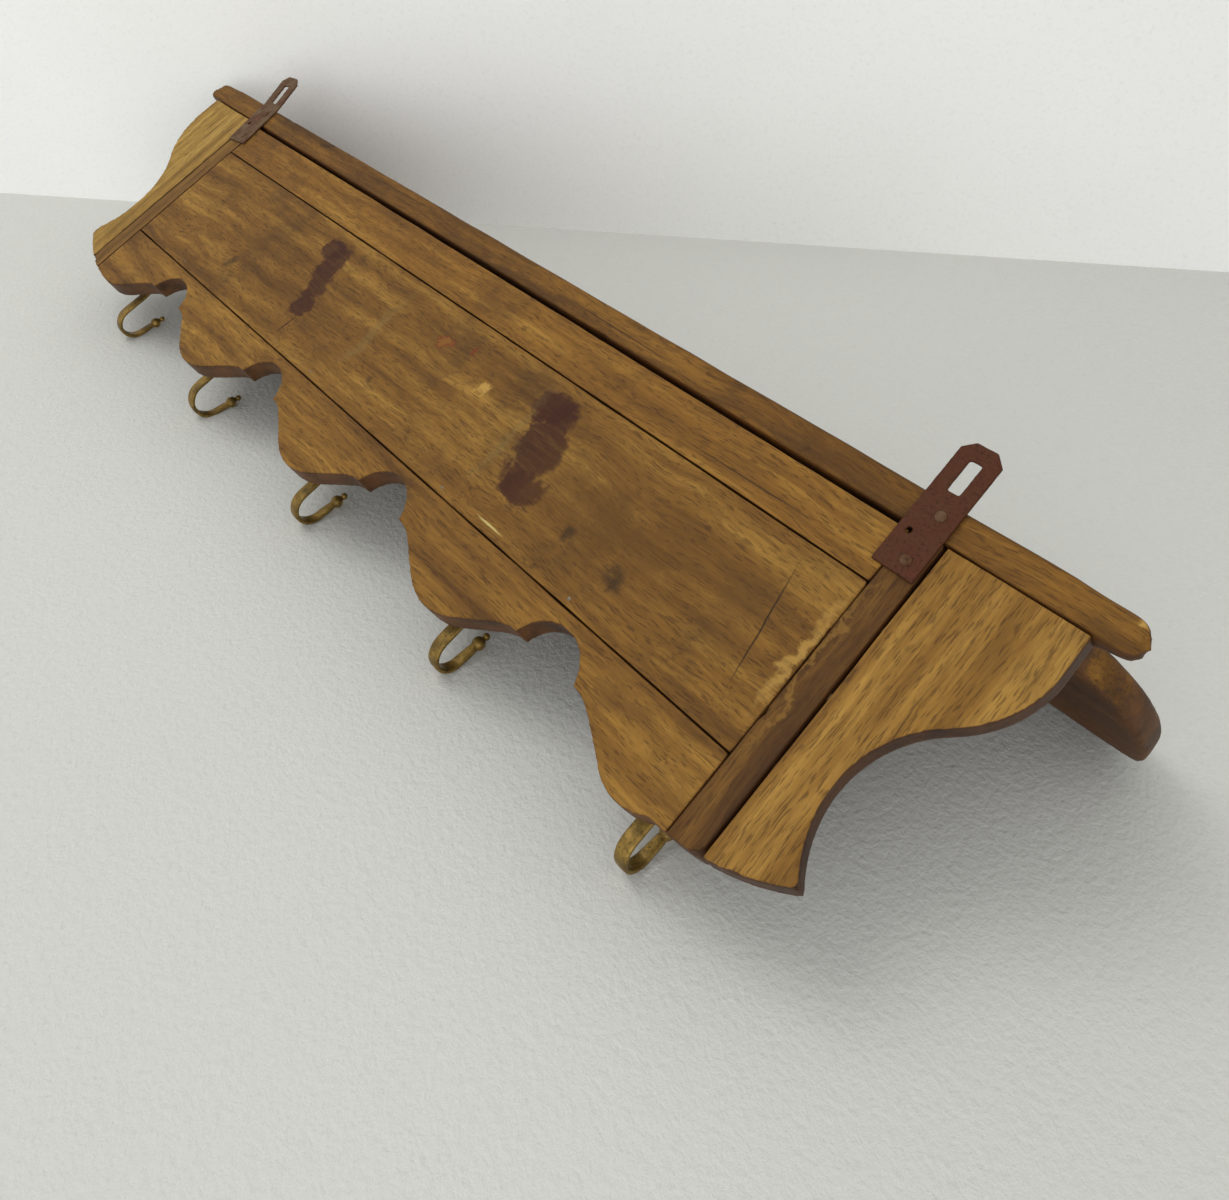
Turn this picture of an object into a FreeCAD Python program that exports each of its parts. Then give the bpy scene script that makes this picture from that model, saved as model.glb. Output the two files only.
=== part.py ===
import FreeCAD, Part
import Sketcher
import math
import os

# Wall hook rack: a shelf on two upright brackets, a back panel framed by two rails, two
# shaped wings, five brass hooks and two slotted iron hanger plates.
# X runs along the rack, Y = 0 is the wooden back, the front faces -Y and Z is up.
# The origin is on the centre line of the back, level with the middle of the hanger slots.

V = FreeCAD.Vector
doc = FreeCAD.newDocument("hook_rack")
sheet = doc.addObject("Spreadsheet::Sheet", "sizes")

driving = {
    "hanger_left_at": 362,
    "hanger_right_at": 370,
    "hanger_right_tilt": 7,
    "hanger_width": 24,
    "hanger_above": 20,
    "hanger_below": 60,
    "hanger_thick": 2,
    "hanger_right_bend": 5,
    "hanger_clip": 6,
    "slot_width": 7,
    "slot_height": 20,
    "nail_radius": 1.4,
    "nail_head_radius": 3,
    "nail_head_height": 1.2,
    "open_hole_radius": 1.8,
    "nail_length": 20,
    "shelf_length": 948,
    "shelf_depth": 160,
    "shelf_thick": 21,
    "shelf_drop": 13.5,
    "shelf_moulding": 30,
    "nib_depth": 11,
    "nib_bevel_top": 11,
    "nib_bevel_under": 8,
    "board": 16,
    "panel_thick": 10,
    "rail_gap": 2.5,
    "top_rail_height": 33,
    "panel_height": 104,
    "bottom_rail_height": 50.5,
    "rebate": 9,
    "inner_width": 714,
    "seam": 0.3,
    "bracket_thick": 18,
    "bracket_foot": 18,
    "bracket_reach": 130,
    "bracket_nose": 28,
    "wing_seam": 0.6,
    "wing_reach": 450,
    "wing_curve": 65,
    "wing_round": 5,
    "wing_left_waist": 401.8,
    "wing_left_corner": 416.5,
    "wing_right_waist": 397.8,
    "wing_right_corner": 412,
    "hook_pitch": 165,
    "lobe_radius": 41,
    "lobe_angle": 31,
    "shoulder_radius": 29,
    "arch_half": 23.5,
    "arch_crown": 42.5,
    "nib_height": 24,
    "hook_width": 9,
    "hook_thick": 3,
    "hook_plate_width": 13,
    "hook_plate_height": 40,
    "hook_plate_thick": 2.5,
    "hook_plate_drop": 197,
    "loop_radius": 12.5,
    "ball_radius": 4.3,
    "knob_radius": 2.4,
    "screw_radius": 1.5,
    "screw_head_radius": 3,
    "screw_head_height": 1.2,
    "screw_length": 14,
    "shelf_screw_radius": 2,
    "shelf_screw_head_radius": 4,
    "shelf_screw_head_height": 3,
    "shelf_screw_length": 46,
    "dowel_radius": 3,
    "dowel_length": 24,
    "pin_radius": 0.8,
    "pin_length": 14,
}
for row, (alias, value) in enumerate(driving.items(), start=1):
    sheet.set("A%d" % row, alias.replace("_", " "))
    sheet.set("B%d" % row, str(value))
    sheet.setAlias("B%d" % row, alias)
doc.recompute()


def size(alias):
    return float(sheet.get(alias))


# the joints between the pieces, from the slots down and from the centre line out
shelfTop = -size("shelf_drop")
shelfUnder = shelfTop - size("shelf_thick")
topRailTop = shelfUnder - size("rail_gap")
panelTop = topRailTop - size("top_rail_height")
panelFoot = panelTop - size("panel_height")
lobeFoot = panelFoot - size("bottom_rail_height")
bracketIn = size("inner_width") / 2
bracketOut = bracketIn + size("bracket_thick")
bracketMid = (bracketIn + bracketOut) / 2
railEnd = bracketIn - size("seam")
outerLobe = 2 * size("hook_pitch")
board = size("board")

# the length of the rails and the panel, as an expression
railLength = "(sizes.inner_width - 2 * sizes.seam)"

# where fasteners sit
shelfScrewDepths = (-38, -108)
nailsOnHanger = ((-3, -52), (-3, -24))
openHoleOnHanger = (5.5, -38)
topDowelHeights = (-43, -63)
footDowelHeights = (-186, -206)
wingDowelHeights = (-85, -125, -165)
pinPlaces = (269, 105, 52, -114, -235)
pinHeight = panelFoot + size("rebate") / 2
hookScrewHeights = (13, -12)
hookNudges = (-2, -4, 1, 7, -7)
# the hand-cut curve past each end of the bottom rail: its centre, radius and lowest height
sweepLeft = (345, 125, lobeFoot + 5.1)
sweepRight = (330, 155, lobeFoot)
midBoard = -board / 2


def sweepZ(x):
    """Height of the curve that rises past the bracket to the wing corner."""
    centre, radius, foot = sweepLeft if x < 0 else sweepRight
    return foot + radius - math.sqrt(radius ** 2 - (abs(x) - centre) ** 2)


# ---- sketch and feature helpers

def originPlane(body, role):
    for feature in body.Origin.OriginFeatures:
        if feature.Role == role:
            return feature


def newBody(label):
    body = doc.addObject("PartDesign::Body", label)
    body.Label = label
    return body


def addSketch(body, name, role, shift=(0, 0, 0), turn=0):
    sketch = body.newObject("Sketcher::SketchObject", name)
    sketch.AttachmentSupport = (originPlane(body, role), [""])
    sketch.MapMode = "FlatFace"
    sketch.AttachmentOffset = FreeCAD.Placement(V(*shift), FreeCAD.Rotation(V(0, 0, 1), turn))
    return sketch


def endNear(sketch, index, corner):
    start = sketch.getPoint(index, 1)
    end = sketch.getPoint(index, 2)
    spot = V(*corner, 0)
    return 1 if start.distanceToPoint(spot) < end.distanceToPoint(spot) else 2


def outline(sketch, start, steps):
    """Closed outline. A step is the next corner, or (point on an arc, next corner)."""
    first = sketch.GeometryCount
    here = start
    corners = []
    for step in steps:
        isArc = isinstance(step[0], tuple)
        there = step[1] if isArc else step
        if isArc:
            sketch.addGeometry(Part.Arc(V(*here, 0), V(*step[0], 0), V(*there, 0)), False)
        else:
            sketch.addGeometry(Part.LineSegment(V(*here, 0), V(*there, 0)), False)
        corners.append(there)
        here = there
    last = sketch.GeometryCount - 1
    for index, corner in zip(range(first, last + 1), corners):
        following = index + 1 if index < last else first
        ends = (index, endNear(sketch, index, corner), following, endNear(sketch, following, corner))
        sketch.addConstraint(Sketcher.Constraint("Coincident", *ends))
    return first


def bind(sketch, constraint, name, expression):
    index = sketch.addConstraint(constraint)
    sketch.renameConstraint(index, name)
    sketch.setExpression("Constraints." + name, expression)


def bindEdge(sketch, index, name, expression):
    edge = sketch.Geometry[index]
    length = edge.StartPoint.distanceToPoint(edge.EndPoint)
    bind(sketch, Sketcher.Constraint("Distance", index, length), name, expression)


def bindRadius(sketch, index, name, expression):
    radius = sketch.Geometry[index].Radius
    bind(sketch, Sketcher.Constraint("Radius", index, radius), name, expression)


def circle(sketch, centre, alias, name):
    index = sketch.addGeometry(Part.Circle(V(*centre, 0), V(0, 0, 1), size(alias)), False)
    bindRadius(sketch, index, name, "sizes." + alias)


def pad(body, sketch, expression, midplane=False, reverse=False):
    feature = body.newObject("PartDesign::Pad", sketch.Name + "Pad")
    feature.Profile = sketch
    feature.Midplane = midplane
    feature.Reversed = reverse
    feature.setExpression("Length", expression)
    return feature


def pocket(body, sketch, expression, reverse=False):
    feature = body.newObject("PartDesign::Pocket", sketch.Name + "Cut")
    feature.Profile = sketch
    feature.Reversed = reverse
    feature.setExpression("Length", expression)
    return feature


def drill(body, name, role, centres, radiusAlias, depth, shift=(0, 0, 0), reverse=False):
    """Round holes from one plane into the piece; depth is an expression."""
    sketch = addSketch(body, name, role, shift)
    for number, centre in enumerate(centres):
        circle(sketch, centre, radiusAlias, "radius%d" % number)
    return pocket(body, sketch, depth, reverse)


def drillFromBack(body, name, centres, radiusAlias, depth):
    return drill(body, name, "XZ_Plane", centres, radiusAlias, depth, reverse=True)


def drillAlongX(body, name, fromX, heights, side):
    """Dowel holes in an end or a face at fromX, going towards larger x when side is 1."""
    centres = [(midBoard, height) for height in heights]
    depth = "sizes.dowel_length / 2"
    return drill(body, name, "YZ_Plane", centres, "dowel_radius", depth, (0, 0, fromX), side > 0)


# ---- the wood

def makeShelf():
    """Board with a rounded lower front edge and moulded ends: a nib, a cove and a shoulder."""
    body = newBody("shelf")
    end = size("shelf_length") / 2
    front = -size("shelf_depth")
    moulding = size("shelf_moulding")
    section = addSketch(body, "shelfSection", "YZ_Plane")
    first = outline(section, (0, shelfUnder), [
        (0, shelfTop), (front + 5, shelfTop), ((front + 1.5, shelfTop - 1.5), (front, shelfTop - 5)),
        ((front + 13, shelfUnder + 4.25), (front + moulding, shelfUnder)), (0, shelfUnder)])
    bindEdge(section, first, "thickness", "sizes.shelf_thick")
    pad(body, section, "sizes.shelf_length", midplane=True)
    for side, word in ((-1, "Left"), (1, "Right")):
        cutShelfEnd(body, "shelfEnd" + word, side, end, front)
    bevelNibs(body, end)
    screwSeats = [(side * bracketMid, depth) for side in (-1, 1) for depth in shelfScrewDepths]
    drill(body, "shelfScrewHoles", "XY_Plane", screwSeats, "shelf_screw_radius",
          "sizes.shelf_thick + 1", (0, 0, shelfTop))
    drill(body, "shelfScrewSinks", "XY_Plane", screwSeats, "shelf_screw_head_radius",
          "sizes.shelf_screw_head_height", (0, 0, shelfTop))
    nails = [nailPlace(side, nailsOnHanger[1]) for side in (-1, 1)]
    drillFromBack(body, "shelfNailHoles", nails, "nail_radius", "sizes.nail_length")


def cutShelfEnd(body, name, side, end, front):
    """Takes away what lies outside the moulded plan of one end."""
    nib = -size("nib_depth")
    plan = addSketch(body, name, "XY_Plane", (0, 0, shelfTop))
    start = (end + 1, nib + 6)
    steps = [
        (end, nib + 6), (end - 11, nib),
        ((end - 37, nib - 24), (end - 32, nib - 49)),
        ((end - 13, nib - 70), (end - 2, nib - 101)),
        ((end - 12.5, front + 11.5), (end - 40, front)),
        (end - 40, front - 1), (end + 1, front - 1), start]
    if side < 0:
        start = mirrorStep(start)
        steps = [mirrorStep(step) for step in steps]
    outline(plan, start, steps)
    pocket(body, plan, "sizes.shelf_thick + 1")


def dress(body, kind, name, prop, expression, base, edges):
    feature = body.newObject(kind, name)
    feature.Base = (base, edges)
    feature.setExpression(prop, expression)
    doc.recompute()
    return feature


def bevelNibs(body, end):
    """Worn corners of the two nibs, as seen from the back."""
    top = size("nib_bevel_top")
    under = size("nib_bevel_under")
    worn = addSketch(body, "nibWear", "XZ_Plane")
    for side in (-1, 1):
        outline(worn, (side * end, shelfTop - top), [
            (side * (end - top), shelfTop), (side * (end + 1), shelfTop + 1),
            (side * end, shelfTop - top)])
        outline(worn, (side * end, shelfUnder + under), [
            (side * (end + 1), shelfUnder - 1), (side * (end - under), shelfUnder),
            (side * end, shelfUnder + under)])
    pocket(body, worn, "sizes.nib_depth", reverse=True)


def nailPlace(side, spot):
    """World (x, z) of a nail given on the hanger plate of one side."""
    at = size("hanger_right_at") if side > 0 else -size("hanger_left_at")
    tilt = math.radians(size("hanger_right_tilt")) if side > 0 else 0
    x = at + spot[0] * math.cos(tilt) + spot[1] * math.sin(tilt)
    z = -spot[0] * math.sin(tilt) + spot[1] * math.cos(tilt)
    return (x, z)


def makeTopRail():
    """Upper rail, with a lip at its foot that covers the front of the panel."""
    body = newBody("top_rail")
    section = addSketch(body, "topRailSection", "YZ_Plane")
    lip = panelTop - size("rebate")
    back = -size("panel_thick")
    first = outline(section, (-board, topRailTop), [
        (0, topRailTop), (0, panelTop), (back, panelTop), (back, lip), (-board, lip),
        (-board, topRailTop)])
    bindEdge(section, first, "thickness", "sizes.board")
    pad(body, section, railLength, midplane=True)
    drillRailEnds(body, "topRailDowelHoles", topDowelHeights)


def drillRailEnds(body, name, heights):
    for side, word in ((-1, "Left"), (1, "Right")):
        drillAlongX(body, name + word, side * railEnd, heights, -side)


def makePanel():
    """Thin panel flush with the back, pinned to the lip of the bottom rail."""
    body = newBody("back_panel")
    section = addSketch(body, "panelSection", "YZ_Plane")
    back = -size("panel_thick")
    first = outline(section, (back, panelTop), [
        (0, panelTop), (0, panelFoot), (back, panelFoot), (back, panelTop)])
    bindEdge(section, first, "thickness", "sizes.panel_thick")
    bindEdge(section, first + 1, "height", "sizes.panel_height")
    pad(body, section, railLength, midplane=True)
    drillFromBack(body, "panelPinHoles", [(x, pinHeight) for x in pinPlaces], "pin_radius",
                  "sizes.panel_thick + 1")


def scallops():
    """Foot of the bottom rail from the right end to the left: lobes with arches between."""
    pitch = size("hook_pitch")
    lobe = size("lobe_radius")
    half = size("arch_half")
    shoulder = size("shoulder_radius")
    lean = math.radians(size("lobe_angle"))
    nibZ = lobeFoot + size("nib_height")
    crown = lobeFoot + size("arch_crown")
    steps = [((railEnd - 12, sweepZ(railEnd - 12)), (outerLobe, lobeFoot))]
    for number in range(4):
        lobeX = outerLobe - number * pitch
        archX = lobeX - pitch / 2
        lobeEnd = (lobeX - lobe * math.sin(lean), lobeFoot + lobe * (1 - math.cos(lean)))
        if number == 0:
            steps.append((onLobe(lobeX, -lean / 2), lobeEnd))
        steps.append((archX + half + shoulder * math.sin(lean), nibZ - shoulder * (1 - math.cos(lean))))
        steps.append(((archX + half + shoulder * math.sin(lean / 2),
                       nibZ - shoulder * (1 - math.cos(lean / 2))), (archX + half, nibZ)))
        steps.append(((archX, crown), (archX - half, nibZ)))
        steps.append(((archX - half - shoulder * math.sin(lean / 2),
                       nibZ - shoulder * (1 - math.cos(lean / 2))),
                      (archX - half - shoulder * math.sin(lean),
                       nibZ - shoulder * (1 - math.cos(lean)))))
        nextX = lobeX - pitch
        steps.append(onLobe(nextX, lean))
        if number < 3:
            steps.append(((nextX, lobeFoot), onLobe(nextX, -lean)))
    centre, radius, foot = sweepLeft
    meet = (-centre, foot)
    middle = (-outerLobe - 2, onLobeHeight(2))
    steps.append((middle, meet))
    halfway = -(centre + railEnd) / 2
    steps.append(((halfway, sweepZ(halfway)), (-railEnd, sweepZ(-railEnd))))
    return steps


def onLobe(lobeX, turn):
    lobe = size("lobe_radius")
    return (lobeX + lobe * math.sin(turn), lobeFoot + lobe * (1 - math.cos(turn)))


def onLobeHeight(away):
    lobe = size("lobe_radius")
    return lobeFoot + lobe - math.sqrt(lobe ** 2 - away ** 2)


def makeBottomRail():
    """Lower rail: a lip in front of the panel at its top and five lobes along its foot."""
    body = newBody("bottom_rail")
    front = addSketch(body, "bottomRailFront", "XZ_Plane")
    steps = [(railEnd, panelFoot), (railEnd, sweepZ(railEnd))] + scallops() + [(-railEnd, panelFoot)]
    first = outline(front, (-railEnd, panelFoot), steps)
    bindEdge(front, first, "length", railLength)
    pad(body, front, "sizes.board")
    lip = addSketch(body, "bottomRailLip", "XZ_Plane", (0, 0, size("panel_thick")))
    lip.setExpression("AttachmentOffset.Base.z", "sizes.panel_thick")
    top = panelFoot + size("rebate")
    first = outline(lip, (-railEnd, panelFoot), [
        (railEnd, panelFoot), (railEnd, top), (-railEnd, top), (-railEnd, panelFoot)])
    bindEdge(lip, first, "length", railLength)
    pad(body, lip, "sizes.board - sizes.panel_thick")
    drillRailEnds(body, "bottomRailDowelHoles", footDowelHeights)
    lipFace = (0, 0, size("panel_thick"))
    drill(body, "lipPinHoles", "XZ_Plane", [(x, pinHeight) for x in pinPlaces], "pin_radius",
          "sizes.pin_length - sizes.panel_thick", lipFace, reverse=True)
    places = [(hookX(number), hookHeight + rise) for number in range(5) for rise in hookScrewHeights]
    drill(body, "hookScrewHoles", "XZ_Plane", places, "screw_radius",
          "sizes.screw_length - sizes.hook_plate_thick", (0, 0, board))


def makeBracket(label, side):
    """Upright board on edge: a shallow foot that swells into a nose carrying the shelf."""
    body = newBody(label)
    near = min(side * bracketIn, side * bracketOut)
    section = addSketch(body, label + "Side", "YZ_Plane", (0, 0, near))
    foot = -size("bracket_foot")
    reach = -size("bracket_reach")
    noseFoot = shelfUnder - size("bracket_nose")
    first = outline(section, (0, shelfUnder), [
        (0, lobeFoot), (foot, lobeFoot),
        ((foot - 6, lobeFoot + 34), (foot - 26, lobeFoot + 62)),
        ((foot - 64, lobeFoot + 88), (reach + 12, noseFoot - 22)),
        ((reach + 3, noseFoot - 13), (reach, noseFoot)),
        (reach, shelfUnder), (0, shelfUnder)])
    bindEdge(section, first + 1, "foot", "sizes.bracket_foot")
    pad(body, section, "sizes.bracket_thick")
    cut = addSketch(body, label + "Sweep", "XZ_Plane")
    innerX = side * bracketIn
    outerX = side * bracketOut
    outline(cut, (innerX, sweepZ(innerX)), [
        ((side * bracketMid, sweepZ(side * bracketMid)), (outerX, sweepZ(outerX))),
        (outerX, lobeFoot - 1), (innerX, lobeFoot - 1), (innerX, sweepZ(innerX))])
    pocket(body, cut, "sizes.bracket_reach", reverse=True)
    railHeights = topDowelHeights + footDowelHeights
    drillAlongX(body, label + "RailHoles", innerX, railHeights, side)
    drillAlongX(body, label + "WingHoles", outerX, wingDowelHeights, -side)
    places = [(side * bracketMid, depth) for depth in shelfScrewDepths]
    drill(body, label + "ScrewHoles", "XY_Plane", places,
          "shelf_screw_radius", "sizes.shelf_screw_length - sizes.shelf_thick", (0, 0, shelfUnder))
    drillFromBack(body, label + "NailHole", [nailPlace(side, nailsOnHanger[0])], "nail_radius",
                  "sizes.nail_length")


def makeWing(label, side):
    """Shaped side board: straight outer edge, a bulge, a waist and a flared corner."""
    body = newBody(label)
    front = addSketch(body, label + "Front", "XZ_Plane")
    inner = bracketOut + size("wing_seam")
    outer = size("wing_reach")
    curve = size("wing_curve")
    corner = size(label + "_corner")
    waist = size(label + "_waist")
    bulgeX = outer - curve
    bulgeZ = shelfUnder - 20
    reach = (bulgeX + waist + curve) / 2
    lean = math.acos((reach - bulgeX) / curve)
    meetZ = bulgeZ - curve * math.sin(lean)
    waistZ = 2 * meetZ - bulgeZ
    half = lean / 2
    points = [
        (inner, shelfUnder), (outer, shelfUnder), (outer, bulgeZ),
        ((bulgeX + curve * math.cos(half), bulgeZ - curve * math.sin(half)), (reach, meetZ)),
        ((waist, waistZ), (corner, sweepZ(side * corner))),
        (((inner + corner) / 2, sweepZ(side * (inner + corner) / 2)), (inner, sweepZ(side * inner))),
        (inner, shelfUnder)]
    if side < 0:
        points = [mirrorStep(step) for step in points]
    first = outline(front, points[0], points[1:])
    bindRadius(front, first + 2, "bulge", "sizes.wing_curve")
    solid = pad(body, front, "sizes.board")
    doc.recompute()
    rim = []
    for number, edge in enumerate(solid.Shape.Edges, start=1):
        middle = edge.valueAt((edge.FirstParameter + edge.LastParameter) / 2)
        atFront = abs(middle.y + board) < 0.01 and edge.BoundBox.YLength < 0.01
        if atFront and abs(middle.x) > outer - 50 and middle.z < shelfUnder - 1:
            rim.append("Edge%d" % number)
    dress(body, "PartDesign::Fillet", label + "Round", "Radius", "sizes.wing_round", solid, rim)
    drillAlongX(body, label + "DowelHoles", side * inner, wingDowelHeights, side)


def mirrorStep(step):
    if isinstance(step[0], tuple):
        return tuple(mirrorStep(part) for part in step)
    return (-step[0], step[1])


# ---- the metal

hookHeight = -size("hook_plate_drop")


def hookX(number):
    return (number - 2) * size("hook_pitch") + hookNudges[number]


def makeHook(number):
    """Screw plate with two arms: a loop below that ends in a ball, and a long hat arm above."""
    label = "hook_%d" % (number + 1)
    body = newBody(label)
    plate = addSketch(body, label + "Plate", "XZ_Plane", (0, 0, board))
    plate.setExpression("AttachmentOffset.Base.z", "sizes.board")
    half = size("hook_plate_width") / 2
    rise = size("hook_plate_height") / 2
    sideEdge = rise - half
    first = outline(plate, (-half, -sideEdge), [
        ((0, -rise), (half, -sideEdge)), (half, sideEdge), ((0, rise), (-half, sideEdge)),
        (-half, -sideEdge)])
    bindRadius(plate, first, "end", "sizes.hook_plate_width / 2")
    pad(body, plate, "sizes.hook_plate_thick")
    face = -board - size("hook_plate_thick") / 2
    thick = size("hook_thick") / 2
    loop = size("loop_radius")
    centreY = face - 26
    centreZ = -35
    innerLoop = loop - thick
    outerLoop = loop + thick
    low = addSketch(body, label + "Loop", "YZ_Plane")
    first = outline(low, (face, 8), [
        ((centreY + innerLoop - 1, centreZ + 26), (centreY + innerLoop, centreZ)),
        ((centreY, centreZ - innerLoop), (centreY - innerLoop, centreZ)),
        (centreY - innerLoop - 1.5, centreZ + 10),
        (centreY - outerLoop - 1.5, centreZ + 10),
        (centreY - outerLoop, centreZ),
        ((centreY, centreZ - outerLoop), (centreY + outerLoop, centreZ)),
        ((centreY + outerLoop - 2.5, centreZ + 21), (face, -2)),
        (face, 8)])
    bindRadius(low, first + 1, "innerLoop", "sizes.loop_radius - sizes.hook_thick / 2")
    pad(body, low, "sizes.hook_width", midplane=True)
    arm = addSketch(body, label + "Arm", "YZ_Plane")
    outline(arm, (face, 17), [
        ((face - 34, 28), (face - 55, 58)), (face - 58, 56), ((face - 36, 25), (face, 13)),
        (face, 17)])
    pad(body, arm, "sizes.hook_width", midplane=True)
    tipY = centreY - loop - 2.5
    ball(body, label + "Ball", tipY, centreZ + 12.5, "ball_radius")
    ball(body, label + "Knob", tipY - 0.5, centreZ + 18, "knob_radius")
    ball(body, label + "ArmBall", face - 58, 60, "ball_radius")
    drill(body, label + "ScrewHoles", "XZ_Plane", [(0, z) for z in hookScrewHeights], "screw_radius",
          "sizes.hook_plate_thick + 1", (0, 0, board + size("hook_plate_thick")))
    across = "%d * sizes.hook_pitch + %s" % (number - 2, hookNudges[number])
    body.setExpression("Placement.Base.x", across)
    body.setExpression("Placement.Base.z", "-sizes.hook_plate_drop")


def ball(body, name, y, z, alias):
    sphere = body.newObject("PartDesign::AdditiveSphere", name)
    sphere.AttachmentSupport = (originPlane(body, "XY_Plane"), [""])
    sphere.MapMode = "FlatFace"
    sphere.AttachmentOffset = FreeCAD.Placement(V(0, y, z), FreeCAD.Rotation())
    sphere.setExpression("Radius", "sizes." + alias)


def makeHanger(label, side):
    """Iron strap with clipped top corners, an upright slot and three nail holes."""
    body = newBody(label)
    half = size("hanger_width") / 2
    top = size("hanger_above")
    foot = -size("hanger_below")
    clip = size("hanger_clip")
    thick = size("hanger_thick")
    lean = size("hanger_right_bend") if side > 0 else 0
    profile = addSketch(body, label + "Profile", "YZ_Plane")
    first = outline(profile, (0, foot), [
        (thick, foot), (thick, shelfTop), (thick + lean, top), (lean, top), (0, shelfTop), (0, foot)])
    bindEdge(profile, first, "thickness", "sizes.hanger_thick")
    pad(body, profile, "sizes.hanger_width", midplane=True)
    through = "sizes.hanger_thick + sizes.hanger_right_bend + 1"
    corners = addSketch(body, label + "Corners", "XZ_Plane")
    outline(corners, (half, top - clip), [(half + 1, top + 1), (half - clip, top), (half, top - clip)])
    outline(corners, (-half, top - clip), [
        (-half - 1, top + 1), (clip - half, top), (-half, top - clip)])
    pocket(body, corners, through)
    slot = addSketch(body, label + "Slot", "XZ_Plane")
    slotHalf = size("slot_width") / 2
    slotRise = size("slot_height") / 2
    first = outline(slot, (-slotHalf, -slotRise), [
        (slotHalf, -slotRise), (slotHalf, slotRise), (-slotHalf, slotRise), (-slotHalf, -slotRise)])
    bindEdge(slot, first, "width", "sizes.slot_width")
    bindEdge(slot, first + 1, "height", "sizes.slot_height")
    pocket(body, slot, through)
    drill(body, label + "NailHoles", "XZ_Plane", list(nailsOnHanger), "nail_radius", through)
    drill(body, label + "OpenHole", "XZ_Plane", [openHoleOnHanger], "open_hole_radius", through)
    if side > 0:
        body.setExpression("Placement.Base.x", "sizes.hanger_right_at")
        body.Placement.Rotation = FreeCAD.Rotation(V(0, 1, 0), size("hanger_right_tilt"))
    else:
        body.setExpression("Placement.Base.x", "-sizes.hanger_left_at")


# ---- fasteners, each kind a group of separate solids

intoBack = FreeCAD.Rotation(V(1, 0, 0), 90)
outOfBack = FreeCAD.Rotation(V(1, 0, 0), -90)
alongX = FreeCAD.Rotation(V(0, 1, 0), 90)
downward = FreeCAD.Rotation(V(1, 0, 0), 180)


def rod(name, at, turn, radiusAlias, lengthAlias):
    cylinder = doc.addObject("Part::Cylinder", name)
    cylinder.Placement = FreeCAD.Placement(V(*at), turn)
    cylinder.setExpression("Radius", "sizes." + radiusAlias)
    cylinder.setExpression("Height", "sizes." + lengthAlias)
    return cylinder


def headed(name, at, turn, headTurn, kind):
    """Shank below a head; both start at the seat of the head."""
    shank = rod(name + "Shank", at, turn, kind + "_radius", kind + "_length")
    head = doc.addObject("Part::Cone", name + "Head")
    head.Placement = FreeCAD.Placement(V(*at), headTurn)
    head.setExpression("Radius1", "sizes.%s_head_radius" % kind)
    head.setExpression("Radius2", "sizes.%s_head_radius * 0.6" % kind)
    head.setExpression("Height", "sizes.%s_head_height" % kind)
    whole = doc.addObject("Part::Fuse", name)
    whole.Base = shank
    whole.Tool = head
    return whole


def group(label, members):
    gathered = doc.addObject("Part::Compound", label)
    gathered.Label = label
    gathered.Links = members


def makeFasteners():
    sides = (-1, 1)
    plateFace = size("hanger_thick")
    nails = []
    for side in sides:
        for spot in nailsOnHanger:
            x, z = nailPlace(side, spot)
            nails.append(headed("nail%d" % len(nails), (x, plateFace, z), intoBack, outOfBack, "nail"))
    group("hanger_nails", nails)
    screws = []
    seat = -board - size("hook_plate_thick")
    for number in range(5):
        for rise in hookScrewHeights:
            at = (hookX(number), seat, hookHeight + rise)
            screws.append(headed("hookScrew%d" % len(screws), at, outOfBack, intoBack, "screw"))
    group("hook_screws", screws)
    long = []
    for side in sides:
        for depth in shelfScrewDepths:
            at = (side * bracketMid, depth, shelfTop)
            long.append(headed("shelfScrew%d" % len(long), at, downward, downward, "shelf_screw"))
    group("shelf_screws", long)
    dowels = []
    start = bracketIn - size("dowel_length") / 2
    for side in sides:
        for height in topDowelHeights + footDowelHeights:
            low = start if side > 0 else -start - size("dowel_length")
            dowels.append(rod("railDowel%d" % len(dowels), (low, midBoard, height), alongX,
                              "dowel_radius", "dowel_length"))
    group("rail_dowels", dowels)
    pegs = []
    start = bracketOut + size("wing_seam") / 2 - size("dowel_length") / 2
    for side in sides:
        for height in wingDowelHeights:
            low = start if side > 0 else -start - size("dowel_length")
            pegs.append(rod("wingDowel%d" % len(pegs), (low, midBoard, height), alongX,
                            "dowel_radius", "dowel_length"))
    group("wing_dowels", pegs)
    pins = [rod("pin%d" % number, (x, 0, pinHeight), intoBack, "pin_radius", "pin_length")
            for number, x in enumerate(pinPlaces)]
    group("panel_pins", pins)


makeShelf()
makeTopRail()
makePanel()
makeBottomRail()
makeBracket("bracket_left", -1)
makeBracket("bracket_right", 1)
makeWing("wing_left", -1)
makeWing("wing_right", 1)
for number in range(5):
    makeHook(number)
makeHanger("hanger_left", -1)
makeHanger("hanger_right", 1)
makeFasteners()
doc.recompute()

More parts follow.
